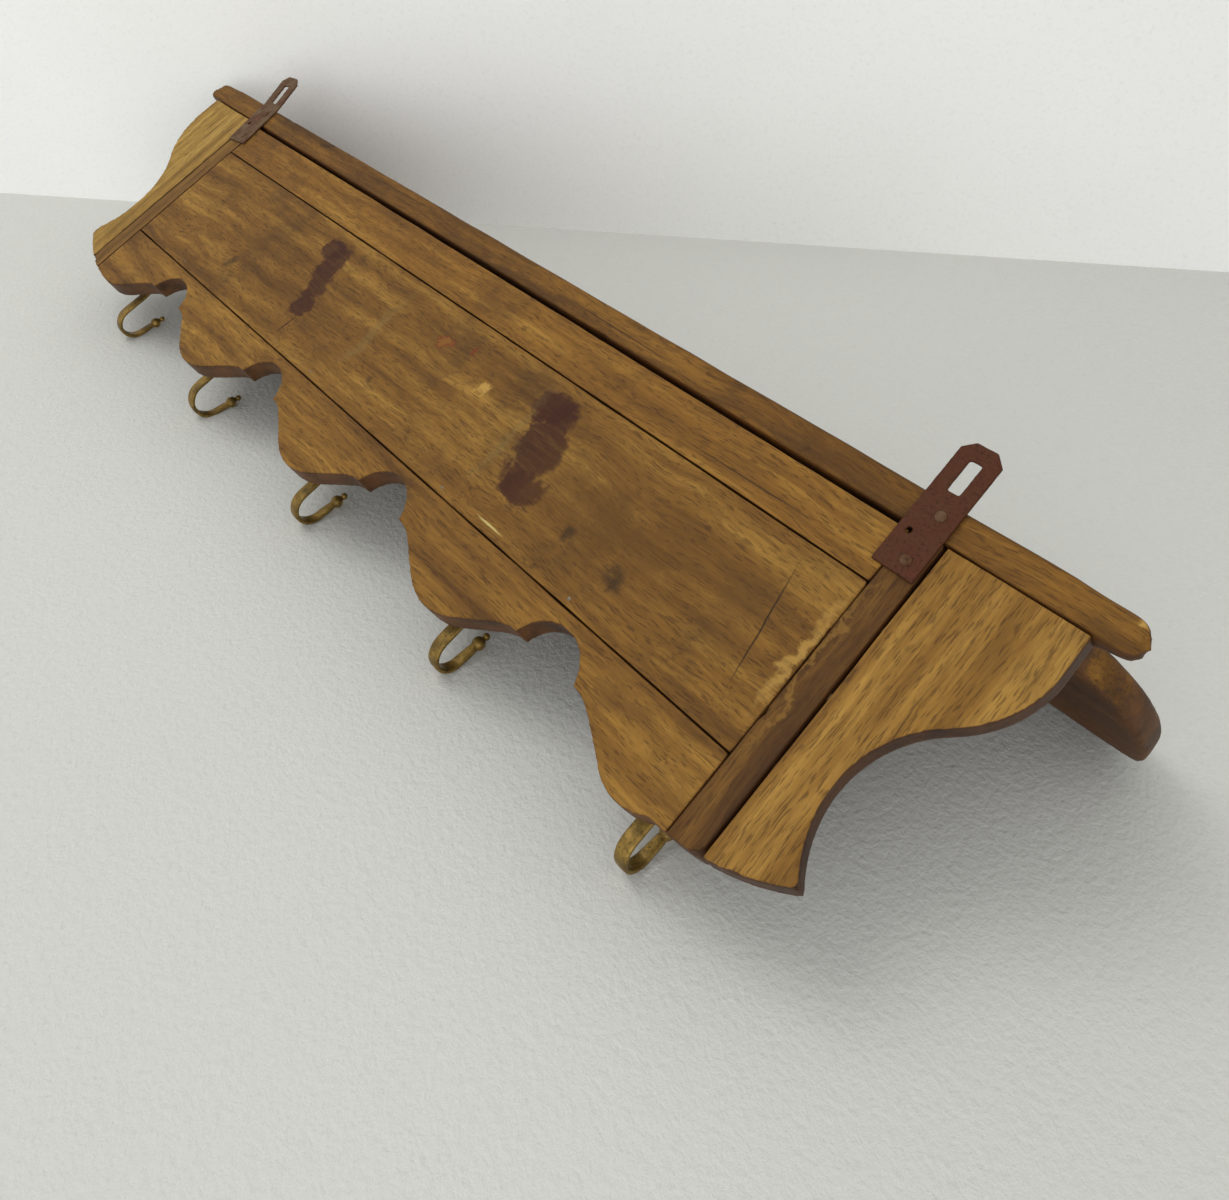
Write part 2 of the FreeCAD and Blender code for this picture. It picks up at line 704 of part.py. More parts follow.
kinds = ("PartDesign::Body", "Part::Compound")
nodes = [item for item in doc.Objects if item.TypeId in kinds]
for item in doc.Objects:
    if "Invalid" in item.State or "Error" in item.State:
        raise RuntimeError("%s did not build: %s" % (item.Name, item.State))
os.makedirs("parts", exist_ok=True)
for node in nodes:
    if node.Shape.isNull() or not node.Shape.isValid():
        raise RuntimeError(node.Label + " has no valid shape")
    node.Shape.exportStep("parts/" + node.Label + ".step")
    bounds = node.Shape.BoundBox
    print("%-14s solids %2d  volume %9.0f  x %7.1f %7.1f  y %7.1f %6.1f  z %7.1f %7.1f" % (
        node.Label, len(node.Shape.Solids), node.Shape.Volume, bounds.XMin, bounds.XMax,
        bounds.YMin, bounds.YMax, bounds.ZMin, bounds.ZMax))
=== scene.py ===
import math

import bmesh
import bpy
import numpy as np
from mathutils import Matrix, Vector, noise


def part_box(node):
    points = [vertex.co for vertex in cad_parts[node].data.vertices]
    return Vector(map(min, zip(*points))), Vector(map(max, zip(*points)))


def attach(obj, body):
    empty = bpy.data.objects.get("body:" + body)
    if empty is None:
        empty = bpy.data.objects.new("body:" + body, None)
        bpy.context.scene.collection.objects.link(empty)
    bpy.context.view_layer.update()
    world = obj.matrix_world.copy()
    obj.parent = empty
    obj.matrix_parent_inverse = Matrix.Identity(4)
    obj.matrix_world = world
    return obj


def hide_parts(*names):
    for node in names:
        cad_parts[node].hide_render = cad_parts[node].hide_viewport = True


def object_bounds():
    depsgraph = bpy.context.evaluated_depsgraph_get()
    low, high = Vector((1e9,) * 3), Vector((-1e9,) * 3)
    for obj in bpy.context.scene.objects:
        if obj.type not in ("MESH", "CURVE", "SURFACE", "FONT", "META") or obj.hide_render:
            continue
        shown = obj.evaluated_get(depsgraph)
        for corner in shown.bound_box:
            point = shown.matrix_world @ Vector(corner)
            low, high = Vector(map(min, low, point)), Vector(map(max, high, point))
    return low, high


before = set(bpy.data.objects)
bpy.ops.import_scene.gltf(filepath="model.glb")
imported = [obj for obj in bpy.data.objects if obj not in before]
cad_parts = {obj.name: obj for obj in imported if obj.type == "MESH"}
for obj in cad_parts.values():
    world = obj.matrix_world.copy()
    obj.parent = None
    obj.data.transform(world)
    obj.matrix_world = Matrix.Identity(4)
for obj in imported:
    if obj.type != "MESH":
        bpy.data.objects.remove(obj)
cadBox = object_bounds()
mm = 0.001
bpy.context.scene.view_settings.view_transform = "Standard"
print("frame loaded:", len(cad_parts), "pieces from the workshop model")


# small helpers for pieces

def addPiece(name, mesh, node):
    piece = bpy.data.objects.new(name, mesh)
    bpy.context.scene.collection.objects.link(piece)
    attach(piece, "root")
    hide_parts(node)
    return piece


def applyModifiers(piece):
    bpy.context.view_layer.update()
    seen = piece.evaluated_get(bpy.context.evaluated_depsgraph_get())
    finished = bpy.data.meshes.new_from_object(seen)
    piece.modifiers.clear()
    piece.data = finished


def addUnevenness(piece, name, grainSize, height):
    texture = bpy.data.textures.new(name, "CLOUDS")
    texture.noise_scale = grainSize * mm
    texture.noise_depth = 3
    wave = piece.modifiers.new(name, "DISPLACE")
    wave.texture = texture
    wave.texture_coords = "LOCAL"
    wave.mid_level = 0.5
    wave.strength = height * mm


def shadeSmooth(piece):
    piece.data.polygons.foreach_set("use_smooth", [True] * len(piece.data.polygons))
    piece.data.update()


# small helpers for materials

def newMaterial(name):
    material = bpy.data.materials.new(name)
    material.use_nodes = True
    material.node_tree.nodes.clear()
    return material, material.node_tree


def put(tree, kind, inputs=None, **settings):
    node = tree.nodes.new(kind)
    for key, value in settings.items():
        setattr(node, key, value)
    for key, value in (inputs or {}).items():
        if isinstance(value, bpy.types.NodeSocket):
            tree.links.new(value, node.inputs[key])
        else:
            node.inputs[key].default_value = value
    return node


def mathNode(tree, operation, first, second, clamp=False):
    node = put(tree, "ShaderNodeMath", {0: first, 1: second}, operation=operation)
    node.use_clamp = clamp
    return node.outputs[0]


def times(tree, value, factor):
    return mathNode(tree, "MULTIPLY", value, factor)


def swing(tree, value, reach):
    # a noise value turned into an amount either side of nothing
    return times(tree, mathNode(tree, "SUBTRACT", value, 0.5), reach)


def vectorNode(tree, operation, first, second):
    socket = 3 if operation == "SCALE" else 1
    return put(tree, "ShaderNodeVectorMath", {0: first, socket: second}, operation=operation).outputs[0]


def remap(tree, value, low, high, newLow=0.0, newHigh=1.0):
    node = put(tree, "ShaderNodeMapRange", {"Value": value, "From Min": low, "From Max": high,
                                            "To Min": newLow, "To Max": newHigh})
    node.interpolation_type = "SMOOTHSTEP"
    return node.outputs[0]


def stretch(tree, vector, scale):
    return put(tree, "ShaderNodeMapping", {"Vector": vector, "Scale": scale}).outputs[0]


def grainNoise(tree, vector, scale, detail=4, roughness=0.6):
    return put(tree, "ShaderNodeTexNoise", {"Vector": vector, "Scale": scale, "Detail": detail,
                                            "Roughness": roughness}).outputs["Fac"]


def mixColour(tree, amount, under, over):
    node = put(tree, "ShaderNodeMix", data_type="RGBA")
    for socket, value in ((0, amount), (6, under), (7, over)):
        if isinstance(value, bpy.types.NodeSocket):
            tree.links.new(value, node.inputs[socket])
        else:
            node.inputs[socket].default_value = value
    return node.outputs[2]


def paint(red, green, blue):
    # 0 to 255, as a colour picker shows them
    return tuple((part / 255) ** 2.2 for part in (red, green, blue)) + (1,)


def colourRamp(tree, value, *stops):
    # each stop is a place from 0 to 1 and its colour
    ramp = put(tree, "ShaderNodeValToRGB", {"Fac": value})
    steps = ramp.color_ramp.elements
    steps[0].position, steps[0].color = stops[0]
    steps[1].position, steps[1].color = stops[-1]
    for position, colour in stops[1:-1]:
        steps.new(position).color = colour
    return ramp.outputs[0]


def finishMaterial(tree, colour, roughness, height, strength, depth, metallic=0.0):
    bump = put(tree, "ShaderNodeBump", {"Height": height, "Strength": strength,
                                        "Distance": depth * mm})
    shader = put(tree, "ShaderNodeBsdfPrincipled", {
        "Base Color": colour, "Roughness": roughness, "Metallic": metallic,
        "Specular IOR Level": 0.3, "Normal": bump.outputs[0]})
    put(tree, "ShaderNodeOutputMaterial", {"Surface": shader.outputs[0]})


# wood

# how fine each layer of the grain is, along and across it, then the marks' ragged outlines, in mm
woodNoise = {
    "figure": (4, 75), "fibre": (28, 420), "pore": (110, 1150), "bend": 9.0, "mottle": 17.0,
    "speck": 240.0, "ragged": 45.0, "raggedBy": 34, "lineRaggedShare": 0.07,
    "markDepth": 12, "lineSoftness": 0.7,
}


def markMask(tree, wobbled, place, reach, turn, soft):
    # one at the middle of the mark and nothing past its rim
    x, z = place
    spot = put(tree, "ShaderNodeMapping", {
        "Vector": wobbled, "Location": (x * mm, 0, z * mm), "Rotation": (0, math.radians(turn), 0),
        "Scale": (reach[0] * mm, woodNoise["markDepth"] * mm, reach[1] * mm)},
        vector_type="TEXTURE").outputs[0]
    away = put(tree, "ShaderNodeVectorMath", {0: spot}, operation="LENGTH").outputs["Value"]
    return remap(tree, away, 1.0, 1.0 - soft)


def lineMask(tree, wobbled, start, end, width):
    # thin mark from start to end
    x = (start[0] + end[0]) / 2
    z = (start[1] + end[1]) / 2
    long = math.hypot(end[0] - start[0], end[1] - start[1]) / 2
    turn = -math.degrees(math.atan2(end[1] - start[1], end[0] - start[0]))
    return markMask(tree, wobbled, (x, z), (long, width), turn, woodNoise["lineSoftness"])


def woodMaterial(name, look):
    material, tree = newMaterial(name)
    place = put(tree, "ShaderNodeTexCoord").outputs["Object"]
    centred = (0.5, 0.5, 0.5)
    warp = put(tree, "ShaderNodeTexNoise", {"Vector": place, "Scale": woodNoise["bend"], "Detail": 3.0})
    bent = vectorNode(tree, "SUBTRACT", warp.outputs["Color"], centred)
    bent = vectorNode(tree, "SCALE", bent, look["waviness"] * mm)
    flow = vectorNode(tree, "ADD", place, bent)

    def layer(kind, detail, roughness):
        along, across = woodNoise[kind]
        scale = (along, across, across) if look["grain"] == "x" else (across, across, along)
        return grainNoise(tree, stretch(tree, flow, scale), 1.0, detail, roughness)

    figure = layer("figure", 6, 0.62)
    fine = layer("fibre", 5, 0.65)
    pores = layer("pore", 2, 0.5)
    mottle = grainNoise(tree, place, woodNoise["mottle"], 5, 0.62)
    speck = grainNoise(tree, place, woodNoise["speck"], 4, 0.7)

    colour = colourRamp(tree, figure, (0.33, look["dark"]), (0.5, look["middle"]), (0.68, look["light"]))
    colour = mixColour(tree, remap(tree, fine, 0.62, 0.30, 0.0, 0.55), colour, look["dark"])
    poreMask = remap(tree, pores, 0.46, 0.34, 0.0, look["pores"])
    colour = mixColour(tree, poreMask, colour, look["pore"])
    colour = mixColour(tree, remap(tree, mottle, 0.50, 0.72, 0.0, look["dirt"]), colour, look["grimeAndShade"])
    colour = mixColour(tree, remap(tree, speck, 0.66, 0.76, 0.0, 0.45), colour, look["grimeAndShade"])

    # marks with ragged outlines, then thin lines that also cut into the surface
    wobble = put(tree, "ShaderNodeTexNoise", {"Vector": place, "Scale": woodNoise["ragged"],
                                              "Detail": 5.0, "Roughness": 0.65})
    offset = vectorNode(tree, "SUBTRACT", wobble.outputs["Color"], centred)
    offset = vectorNode(tree, "SCALE", offset, woodNoise["raggedBy"] * mm)
    markPlace = vectorNode(tree, "ADD", place, offset)
    linePlace = vectorNode(tree, "ADD", place,
                           vectorNode(tree, "SCALE", offset, woodNoise["lineRaggedShare"]))
    broken = remap(tree, fine, 0.30, 0.55, 0.72, 1.0)
    height = mathNode(tree, "SUBTRACT", times(tree, fine, 0.5), times(tree, poreMask, 0.5))
    for spot, reach, turn, soft, tint, strength in look.get("marks", ()):
        mask = times(tree, markMask(tree, markPlace, spot, reach, turn, soft), broken)
        amount = mathNode(tree, "MULTIPLY", mask, strength, clamp=True)
        colour = mixColour(tree, amount, colour, tint)
    for start, end, width, tint, strength in look.get("lines", ()):
        mask = lineMask(tree, linePlace, start, end, width)
        colour = mixColour(tree, times(tree, mask, strength), colour, tint)
        height = mathNode(tree, "SUBTRACT", height, times(tree, mask, 1.2 * strength))

    # stained finish on the front and the edges, worn off in places
    normal = put(tree, "ShaderNodeNewGeometry").outputs["Normal"]
    backness = put(tree, "ShaderNodeSeparateXYZ", {0: normal}).outputs["Y"]
    ragged = mathNode(tree, "ADD", backness, swing(tree, speck, 0.5))
    stained = remap(tree, ragged, look["edge"], look["edge"] - 0.35)
    finish = colourRamp(tree, figure, (0.3, look["stainDark"]), (0.7, look["stain"]))
    finish = mixColour(tree, times(tree, poreMask, 0.8), finish, look["stainDark"])
    finish = mixColour(tree, remap(tree, mottle, 0.60, 0.76, 0.0, look["worn"]), finish, look["middle"])
    colour = mixColour(tree, stained, colour, finish)
    # painted shade: hollows and inside corners are darkened towards the grime colour, as if shade fell there
    pointed = put(tree, "ShaderNodeNewGeometry").outputs["Pointiness"]
    colour = mixColour(tree, remap(tree, pointed, 0.49, 0.44, 0.0, 0.8), colour, look["grimeAndShade"])
    rough = mathNode(tree, "SUBTRACT", 0.78, times(tree, stained, 0.25))
    rough = mathNode(tree, "ADD", rough, swing(tree, speck, 0.2))
    finishMaterial(tree, colour, rough, height, 0.75, 0.5)
    return material


# paint values are seen colours. marks: middle, reach, turn, softness, paint, strength.
# lines: start, end, width, paint, strength. chips: place, radius, depth. All lengths are in mm
agedOak = {
    "grain": "x", "waviness": 14, "pores": 0.55, "dirt": 0.40, "edge": 0.78, "worn": 0.25,
    "dark": paint(84, 54, 17), "middle": paint(120, 83, 30), "light": paint(150, 109, 45),
    "pore": paint(58, 36, 13), "grimeAndShade": paint(60, 42, 17),
    "stain": paint(98, 62, 27), "stainDark": paint(50, 31, 12),
}
rustStain = paint(56, 26, 9)
soot = paint(48, 34, 16)
whiteFleck = paint(190, 172, 109)
bareWood = paint(176, 139, 72)

woodLooks = {
    "shelf": dict(agedOak, dark=paint(72, 47, 14), middle=paint(106, 72, 24), light=paint(136, 96, 37),
                  chips=[((-474, -2, -24), 9, 2.5), ((472, -2, -22), 7, 2.0), ((330, -1, -14), 5, 0.8),
                         ((-120, -1, -35), 6, 0.8), ((90, -159, -30), 5, 1.0)],
                  marks=[((-462, -19), (7, 4), 20, 0.8, bareWood, 0.9),
                         ((470, -20), (8, 5), -25, 0.8, soot, 0.9),
                         ((245, -15), (40, 5), 0, 0.9, soot, 0.8),
                         ((-300, -24), (60, 8), 0, 0.9, paint(80, 52, 16), 0.6),
                         ((-60, -30), (90, 5), 2, 0.9, paint(70, 46, 16), 0.6)],
                  lines=[((-200, -27), (-60, -25), 0.8, soot, 0.7),
                         ((60, -20), (210, -22), 0.7, soot, 0.6)]),
    "top_rail": dict(agedOak, dark=paint(92, 62, 20), middle=paint(124, 86, 32), light=paint(152, 113, 48),
                     chips=[((-352, -1, -77), 6, 1.6), ((-338, 0, -79), 5, 1.4), ((-318, 0, -79), 4, 1.0)],
                     marks=[((-40, -58), (26, 10), 8, 0.8, paint(80, 53, 19), 0.6),
                            ((250, -60), (30, 7), -6, 0.8, paint(84, 57, 20), 0.6),
                            ((-343, -73), (15, 3.5), -4, 0.7, soot, 0.8)],
                     lines=[((-330, -60), (-210, -62), 0.8, soot, 0.7)]),
    "back_panel": dict(agedOak, waviness=22, shrunk=0.991, dark=paint(86, 58, 20), middle=paint(118, 83, 32),
                       light=paint(148, 111, 49), dirt=0.5,
                       chips=[((-354, 0, -100), 5, 0.9), ((-353, 0, -128), 4, 0.8),
                              ((-80, 0, -105), 6, 0.35)],
                       marks=[((126, -106), (15, 33), 14, 0.3, rustStain, 0.92),
                              ((137, -88), (16, 11), 10, 0.3, rustStain, 0.9),
                              ((114, -138), (11, 12), 0, 0.3, rustStain, 0.9),
                              ((-147, -114), (19, 39), 10, 0.3, rustStain, 0.92),
                              ((-136, -90), (19, 13), 16, 0.3, rustStain, 0.9),
                              ((-162, -140), (18, 15), 0, 0.3, rustStain, 0.9),
                              ((-128, -128), (22, 26), 0, 0.9, soot, 0.35),
                              ((-225, -124), (95, 46), 0, 0.9, paint(84, 56, 18), 0.85),
                              ((-310, -110), (40, 40), 0, 0.9, paint(96, 66, 26), 0.4),
                              ((-246, -150), (13, 7), 15, 0.8, soot, 0.8),
                              ((-207, -144), (9, 6), 0, 0.8, soot, 0.8),
                              ((224, -148), (11, 7), 0, 0.8, soot, 0.7),
                              ((3, -150), (9, 6), 0, 0.8, soot, 0.6),
                              ((-24, -97), (6, 6), 0, 0.45, paint(112, 42, 20), 0.7),
                              ((-24, -97), (4, 4), 0, 0.35, paint(120, 84, 33), 0.8),
                              ((-52, -91), (4.5, 4.5), 0, 0.45, paint(112, 42, 20), 0.6),
                              ((-80, -105), (9, 6), 12, 0.6, paint(182, 145, 75), 0.7),
                              ((-352, -118), (5, 46), 0, 0.7, bareWood, 0.6),
                              ((36, -122), (8, 56), 0, 0.9, paint(120, 101, 58), 0.4),
                              ((-124, -122), (6, 54), 0, 0.9, paint(116, 97, 55), 0.4)],
                       lines=[((109, -142), (113, -168), 1.0, rustStain, 0.9),
                              ((-321, -74), (-337, -162), 0.7, soot, 0.9),
                              ((-176, -168), (-146, -168), 1.0, whiteFleck, 0.8)]),
    "bottom_rail": dict(agedOak, dark=paint(88, 59, 22), middle=paint(124, 88, 35), light=paint(154, 115, 50),
                        marks=[((-300, -190), (34, 10), 6, 0.8, paint(88, 59, 23), 0.6),
                               ((80, -186), (40, 8), -3, 0.8, paint(90, 61, 23), 0.5)],
                        chips=[((-330, 0, -196), 5, 1.2), ((10, 0, -188), 4, 0.8)]),
    "bracket_left": dict(agedOak, grain="z", dark=paint(62, 39, 13), middle=paint(88, 59, 22),
                         light=paint(120, 86, 36), stain=paint(84, 50, 22),
                         marks=[((-360, -120), (2.5, 80), 0, 0.8, paint(130, 96, 42), 0.6)],
                         chips=[((-375, 0, -216), 5, 2.0), ((-357, -1, -150), 4, 0.8)]),
    "bracket_right": dict(agedOak, grain="z", dark=paint(84, 59, 24), middle=paint(114, 82, 36),
                          light=paint(142, 107, 50), stain=paint(84, 50, 22),
                          lines=[((365, -84), (364, -122), 0.8, soot, 0.9)],
                          chips=[((371, 0, -218), 4, 1.2)]),
    "wing_left": dict(agedOak, grain="z", waviness=9, dark=paint(96, 65, 24), middle=paint(130, 94, 39),
                      light=paint(162, 124, 59), stain=paint(80, 48, 20), stainDark=paint(40, 25, 12),
                      dirt=0.25, edge=0.72,
                      chips=[((-392, 0, -213), 4, 1.8), ((-419, 0, -196), 5, 1.6)],
                      lines=[((-408, -92), (-411, -150), 0.6, soot, 0.6)]),
    "wing_right": dict(agedOak, grain="z", waviness=9, dark=paint(110, 82, 35), middle=paint(146, 113, 52),
                       light=paint(176, 145, 76), stain=paint(80, 48, 20), stainDark=paint(40, 25, 12),
                       dirt=0.2, edge=0.72,
                       chips=[((410, 0, -200), 4, 1.2)],
                       lines=[((409, -38), (409, -85), 0.8, soot, 0.9),
                              ((419, -40), (418, -74), 0.6, soot, 0.7)]),
}
woodShape = {
    "fineness": 1.4, "shelfFineness": 2.2, "edgeWear": {"x": 2, "z": 1}, "shelfEndWear": 24,
    "shelfEndLength": 44, "shelfEndFade": 16, "hollows": 0.35, "ridges": 0.10,
    "hollowScale": 28, "ridgeScale": 420, "chipScale": 260,
}


def weather(mesh, look):
    # shallow hollows, raised grain and chips, all along the normals
    turned = (0.02, 1, 1) if look["grain"] == "x" else (1, 1, 0.02)
    chips = [(np.array(spot) * mm, radius * mm, depth) for spot, radius, depth in look.get("chips", ())]
    count = len(mesh.vertices)
    spots, normals = np.zeros(count * 3), np.zeros(count * 3)
    mesh.vertices.foreach_get("co", spots)
    mesh.vertex_normals.foreach_get("vector", normals)
    spots, normals = spots.reshape(-1, 3), normals.reshape(-1, 3)
    moves = np.zeros(count)
    for k, place in enumerate(spots):
        spot = Vector(place)
        move = noise.noise(spot * woodShape["hollowScale"]) * woodShape["hollows"]
        fibre = Vector((spot.x * turned[0], spot.y * turned[1], spot.z * turned[2]))
        move += noise.noise(fibre * woodShape["ridgeScale"]) * woodShape["ridges"]
        moves[k] = move - woodShape["hollows"] * 0.4
    for centre, radius, depth in chips:
        away = np.linalg.norm(spots - centre, axis=1)
        for k in np.nonzero(away < radius * 1.5)[0]:
            ragged = away[k] + noise.noise(Vector(spots[k]) * woodShape["chipScale"]) * radius * 0.4
            if ragged < radius:
                moves[k] -= depth * math.sqrt(1 - max(ragged, 0) / radius)
    mesh.vertices.foreach_set("co", (spots + normals * moves[:, None] * mm).ravel())
    mesh.update()


def makeWood(node):
    look = woodLooks[node]
    piece = addPiece(node + "_wood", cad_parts[node].data.copy(), node)
    low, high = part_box(node)
    remesh = piece.modifiers.new("fibres", "REMESH")
    remesh.mode = "VOXEL"
    remesh.voxel_size = woodShape["shelfFineness" if node == "shelf" else "fineness"] * mm
    applyModifiers(piece)
    if node == "shelf":
        ends = piece.vertex_groups.new(name="ends")
        for vertex in piece.data.vertices:
            inward = (high.x - abs(vertex.co.x)) / mm
            topness = (vertex.co.z - low.z) / (high.z - low.z)
            nearness = (woodShape["shelfEndLength"] - inward) / woodShape["shelfEndFade"]
            worn = max(0.0, min(1.0, nearness)) * (0.35 + 0.65 * topness)
            if worn > 0:
                ends.add([vertex.index], worn, "REPLACE")
        endWear = piece.modifiers.new("ends", "SMOOTH")
        endWear.factor = 0.5
        endWear.iterations = woodShape["shelfEndWear"]
        endWear.vertex_group = "ends"
    smooth = piece.modifiers.new("edges", "SMOOTH")
    smooth.factor = 0.5
    smooth.iterations = woodShape["edgeWear"][look["grain"]]
    applyModifiers(piece)
    weather(piece.data, look)
    if "shrunk" in look:  # dried out, so the joint above it has opened
        for vertex in piece.data.vertices:
            vertex.co.z = low.z + (vertex.co.z - low.z) * look["shrunk"]
    shadeSmooth(piece)
    piece.data.materials.clear()
    piece.data.materials.append(woodMaterial(node + "_finish", look))
    return piece


for node in woodLooks:
    makeWood(node)
print("boards made:", len(woodLooks))


# metal

def metalMaterial(name, look):
    material, tree = newMaterial(name)
    place = put(tree, "ShaderNodeTexCoord").outputs["Object"]
    cloud = grainNoise(tree, place, look["patches"], 6, 0.65)
    fine = grainNoise(tree, place, look["patches"] * 7, 5, 0.7)
    pits = put(tree, "ShaderNodeTexVoronoi", {"Vector": place, "Scale": look["pits"]}).outputs["Distance"]
    colour = mixColour(tree, remap(tree, cloud, 0.36, 0.64), look["bare"], look["aged"])
    colour = mixColour(tree, remap(tree, fine, 0.52, 0.68, 0.0, look["crust"]), colour, look["deep"])
    colour = mixColour(tree, remap(tree, cloud, 0.60, 0.72, 0.0, look["bloom"]), colour, look["powder"])
    pointed = put(tree, "ShaderNodeNewGeometry").outputs["Pointiness"]
    colour = mixColour(tree, remap(tree, pointed, 0.49, 0.42, 0.0, 0.85), colour, look["deep"])
    colour = mixColour(tree, remap(tree, pointed, 0.53, 0.60, 0.0, look["rubbed"]), colour, look["bare"])
    dull = mathNode(tree, "ADD", look["roughness"], swing(tree, fine, 0.5), clamp=True)
    shine = remap(tree, cloud, 0.70, 0.40, look["metal"] * 0.4, look["metal"])
    height = mathNode(tree, "ADD", fine, times(tree, pits, -0.6))
    finishMaterial(tree, colour, dull, height, look["bump"], 0.25, metallic=shine)
    return material


oldBrass = metalMaterial("old_brass_finish", {
    "bare": paint(150, 122, 66), "aged": paint(98, 78, 38), "deep": paint(40, 32, 17),
    "powder": paint(84, 84, 50), "patches": 90, "pits": 900, "crust": 0.8, "bloom": 0.4,
    "rubbed": 0.6, "roughness": 0.46, "metal": 0.75, "bump": 0.25})
rustyIron = metalMaterial("rusty_iron_finish", {
    "bare": paint(74, 42, 20), "aged": paint(72, 35, 10), "deep": paint(32, 16, 7),
    "powder": paint(108, 52, 18), "patches": 75, "pits": 1100, "crust": 0.75, "bloom": 0.6,
    "rubbed": 0.4, "roughness": 0.72, "metal": 0.08, "bump": 0.6})
greyIron = metalMaterial("grey_iron_finish", {
    "bare": paint(96, 76, 54), "aged": paint(76, 45, 22), "deep": paint(36, 22, 12),
    "powder": paint(114, 64, 30), "patches": 75, "pits": 1100, "crust": 0.7, "bloom": 0.5,
    "rubbed": 0.5, "roughness": 0.66, "metal": 0.15, "bump": 0.5})
oldSteel = metalMaterial("old_steel_finish", {
    "bare": paint(120, 112, 100), "aged": paint(74, 60, 46), "deep": paint(34, 27, 21),
    "powder": paint(104, 66, 40), "patches": 160, "pits": 1500, "crust": 0.6, "bloom": 0.5,
    "rubbed": 0.6, "roughness": 0.5, "metal": 0.6, "bump": 0.4})
beech = woodMaterial("beech_finish", dict(agedOak, dark=paint(150, 118, 76), middle=paint(178, 144, 98),
                     light=paint(200, 168, 122), stain=paint(176, 142, 98), stainDark=paint(140, 108, 68)))


def ringPiece(bm, rings):
    # skin over a row of rings, closed at both ends
    made = [[bm.verts.new(point) for point in ring] for ring in rings]
    for near, far in zip(made, made[1:]):
        count = len(near)
        for k in range(count):
            bm.faces.new((near[k], near[(k + 1) % count], far[(k + 1) % count], far[k]))
    bm.faces.new(list(reversed(made[0])))
    bm.faces.new(made[-1])


def finishMesh(bm, name):
    bmesh.ops.recalc_face_normals(bm, faces=bm.faces)
    mesh = bpy.data.meshes.new(name)
    bm.to_mesh(mesh)
    bm.free()
    return mesh


def smoothLine(points, steps):
    # even curve through all the points
    line = []
    ends = [2 * points[0] - points[1]] + list(points) + [2 * points[-1] - points[-2]]
    for a, b, c, d in zip(ends, ends[1:], ends[2:], ends[3:]):
        for k in range(steps):
            t = k / steps
            line.append(0.5 * (2 * b + (c - a) * t + (2 * a - 5 * b + 4 * c - d) * t ** 2
                               + (3 * b - a - 3 * c + d) * t ** 3))
    line.append(points[-1])
    return line


def sweepBand(bm, line, wide, thick, wideEnd, thickEnd, flare):
    # rounded strip along a line in the upright plane, thicker at its root
    rings = []
    last = len(line) - 1
    for k, spot in enumerate(line):
        ahead = (line[min(k + 1, last)] - line[max(k - 1, 0)]).normalized()
        side = Vector((0, -ahead.z, ahead.y))
        t = k / last
        root = max(0.0, 1 - t * 5) ** 2
        halfWide = (wide + (wideEnd - wide) * t ** 4) / 2 * mm
        halfThick = (thick + (thickEnd - thick) * t ** 3 + flare * root) / 2 * mm
        ring = []
        for step in range(20):
            turn = 2 * math.pi * step / 20
            across = math.copysign(abs(math.cos(turn)) ** 0.55, math.cos(turn)) * halfWide
            out = math.copysign(abs(math.sin(turn)) ** 0.55, math.sin(turn)) * halfThick
            ring.append(spot + Vector((across, 0, 0)) + side * out)
        rings.append(ring)
    ringPiece(bm, rings)


def lathe(bm, base, axis, profile, turns=24):
    side = axis.orthogonal().normalized()
    other = axis.cross(side)
    rings = [[base + axis * along + (side * math.cos(2 * math.pi * k / turns)
              + other * math.sin(2 * math.pi * k / turns)) * max(radius, 0.02 * mm)
              for k in range(turns)] for along, radius in profile]
    ringPiece(bm, rings)


def ballProfile(centre, radius, start=-1.0, end=1.0, steps=9):
    first, last = math.asin(start), math.asin(end)
    turns = [first + (last - first) * k / steps for k in range(steps + 1)]
    return [((centre + radius * math.sin(turn)) * mm, radius * math.cos(turn) * mm) for turn in turns]


# five hooks, each a little different: how far the loop is bent open, down and aside, in mm
hookLooks = {
    "hook_1": {"open": 0.0, "down": 0.0, "aside": 0.0, "lean": 0.0},
    "hook_2": {"open": 0.4, "down": 0.3, "aside": 0.3, "lean": 0.3},
    "hook_3": {"open": 0.0, "down": 0.4, "aside": 0.0, "lean": -0.3},
    "hook_4": {"open": 0.5, "down": 3.5, "aside": -5.0, "lean": 0.2},
    "hook_5": {"open": 0.0, "down": 2.0, "aside": -0.5, "lean": -0.2},
}
hookShape = {
    "bandWidth": 9.0, "bandThick": 3.0, "tipWidth": 5.5, "loopRoot": 5, "armRoot": 3,
    "ball": 4.3, "knob": 2.4, "plateWide": 13.0, "plateHigh": 40.0, "plateSides": 40,
    "loopOut": 27.25, "loopDrop": 35, "loopRadius": 12.5, "lowest": 49,
}


